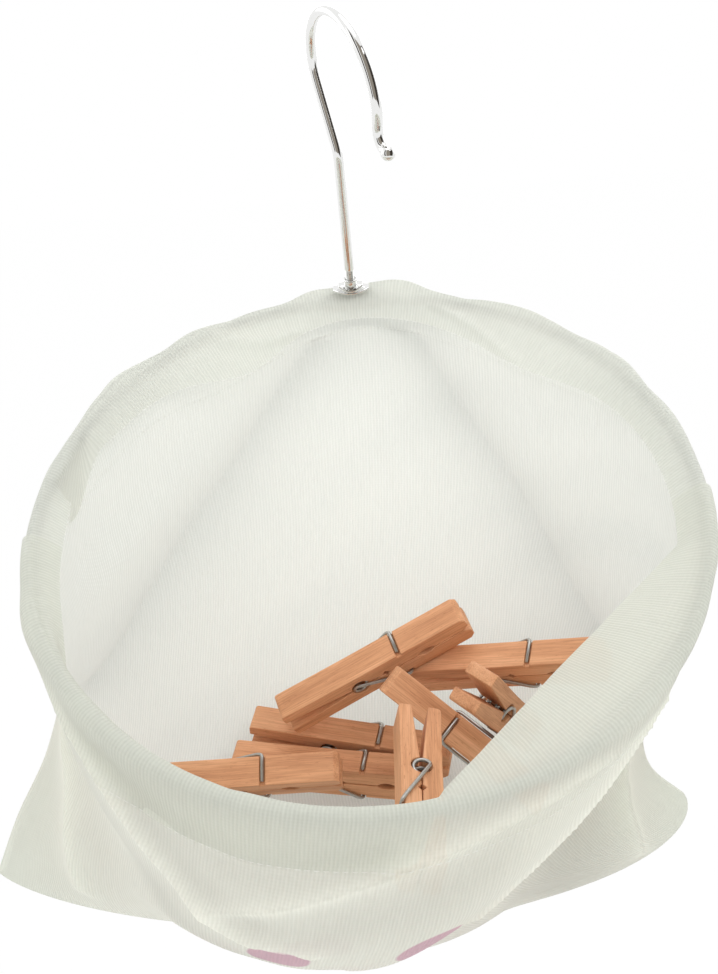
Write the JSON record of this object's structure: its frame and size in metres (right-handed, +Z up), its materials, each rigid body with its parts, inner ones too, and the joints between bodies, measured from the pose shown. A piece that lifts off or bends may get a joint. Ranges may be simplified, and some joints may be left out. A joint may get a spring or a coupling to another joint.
{
  "type": "peg bag",
  "caption": "Cloth bag held open by a tilted wire ring in its hem, hung by a swivel hook, with wooden spring pegs lying inside.",
  "frame": {"origin": "inner side of the hook's loop at its highest point, where the bag hangs on its line", "axes": "+X to the right and +Y away from someone who looks into the mouth, +Z up as it hangs"},
  "size_m": [0.2326, 0.1866, 0.2823],
  "materials": {
    "chrome": "bright chromed wire",
    "steel": "plain zinc-plated",
    "spring_steel": "drawn spring wire",
    "cloth": "semi-sheer white plain weave",
    "peg_wood": "bare planed beech"
  },
  "bodies": {
    "hook": {"hook": "chrome", "hook_nut": "steel", "hook_collar": "chrome"},
    "bag": {"ring_wire": "steel", "ring_joiner": "steel", "base_clip": "chrome", "upper_clip": "chrome", "front_panel": "cloth", "back_panel": "cloth", "peg_1_lower_half": "peg_wood", "peg_1_spring": "spring_steel", "peg_2_lower_half": "peg_wood", "peg_2_spring": "spring_steel", "peg_3_lower_half": "peg_wood", "peg_3_spring": "spring_steel", "peg_4_lower_half": "peg_wood", "peg_4_spring": "spring_steel", "peg_5_lower_half": "peg_wood", "peg_5_spring": "spring_steel", "peg_6_lower_half": "peg_wood", "peg_6_spring": "spring_steel", "peg_7_lower_half": "peg_wood", "peg_7_spring": "spring_steel", "peg_8_lower_half": "peg_wood", "peg_8_spring": "spring_steel"},
    "peg_1_upper": {"peg_1_upper_half": "peg_wood"},
    "peg_2_upper": {"peg_2_upper_half": "peg_wood"},
    "peg_3_upper": {"peg_3_upper_half": "peg_wood"},
    "peg_4_upper": {"peg_4_upper_half": "peg_wood"},
    "peg_5_upper": {"peg_5_upper_half": "peg_wood"},
    "peg_6_upper": {"peg_6_upper_half": "peg_wood"},
    "peg_7_upper": {"peg_7_upper_half": "peg_wood"},
    "peg_8_upper": {"peg_8_upper_half": "peg_wood"}
  },
  "joints": [
    {"name": "hook_swivel", "type": "hinge", "parent": "hook", "child": "bag", "pos_m": [0.00022, 0.05438, -0.09508], "axis": [0, -0.5, 0.866], "continuous": true},
    {"name": "peg_1_pinch", "type": "hinge", "parent": "bag", "child": "peg_1_upper", "pos_m": [-0.02528, -0.00132, -0.24976], "axis": [-0.1754, -0.9351, -0.3078], "range_deg": [0, 9], "stiffness_Nm_per_rad": 0.08, "deforming": ["peg_1_spring"]},
    {"name": "peg_2_pinch", "type": "hinge", "parent": "bag", "child": "peg_2_upper", "pos_m": [-0.01916, 0.0099, -0.24414], "axis": [-0.2299, -0.886, -0.4028], "range_deg": [0, 9], "stiffness_Nm_per_rad": 0.08, "deforming": ["peg_2_spring"]},
    {"name": "peg_3_pinch", "type": "hinge", "parent": "bag", "child": "peg_3_upper", "pos_m": [-0.05792, -0.02121, -0.23942], "axis": [-0.0247, -0.7071, -0.7067], "range_deg": [0, 9], "stiffness_Nm_per_rad": 0.08, "deforming": ["peg_3_spring"]},
    {"name": "peg_4_pinch", "type": "hinge", "parent": "bag", "child": "peg_4_upper", "pos_m": [0.0349, -0.02376, -0.23759], "axis": [0.6729, 0.3272, 0.6634], "range_deg": [0, 9], "stiffness_Nm_per_rad": 0.08, "deforming": ["peg_4_spring"]},
    {"name": "peg_5_pinch", "type": "hinge", "parent": "bag", "child": "peg_5_upper", "pos_m": [0.03694, -0.02988, -0.21533], "axis": [0.7523, -0.561, -0.3454], "range_deg": [0, 9], "stiffness_Nm_per_rad": 0.08, "deforming": ["peg_5_spring"]},
    {"name": "peg_6_pinch", "type": "hinge", "parent": "bag", "child": "peg_6_upper", "pos_m": [0.03694, 0.00072, -0.21547], "axis": [-0.2485, -0.7969, -0.5507], "range_deg": [0, 9], "stiffness_Nm_per_rad": 0.08, "deforming": ["peg_6_spring"]},
    {"name": "peg_7_pinch", "type": "hinge", "parent": "bag", "child": "peg_7_upper", "pos_m": [-0.00794, 0.00276, -0.21666], "axis": [0.2739, -0.82, -0.5026], "range_deg": [0, 9], "stiffness_Nm_per_rad": 0.08, "deforming": ["peg_7_spring"]},
    {"name": "peg_8_pinch", "type": "hinge", "parent": "bag", "child": "peg_8_upper", "pos_m": [0.01042, -0.06456, -0.21958], "axis": [-0.2528, 0.1767, -0.9513], "range_deg": [0, 9], "stiffness_Nm_per_rad": 0.08, "deforming": ["peg_8_spring"]}
  ]
}
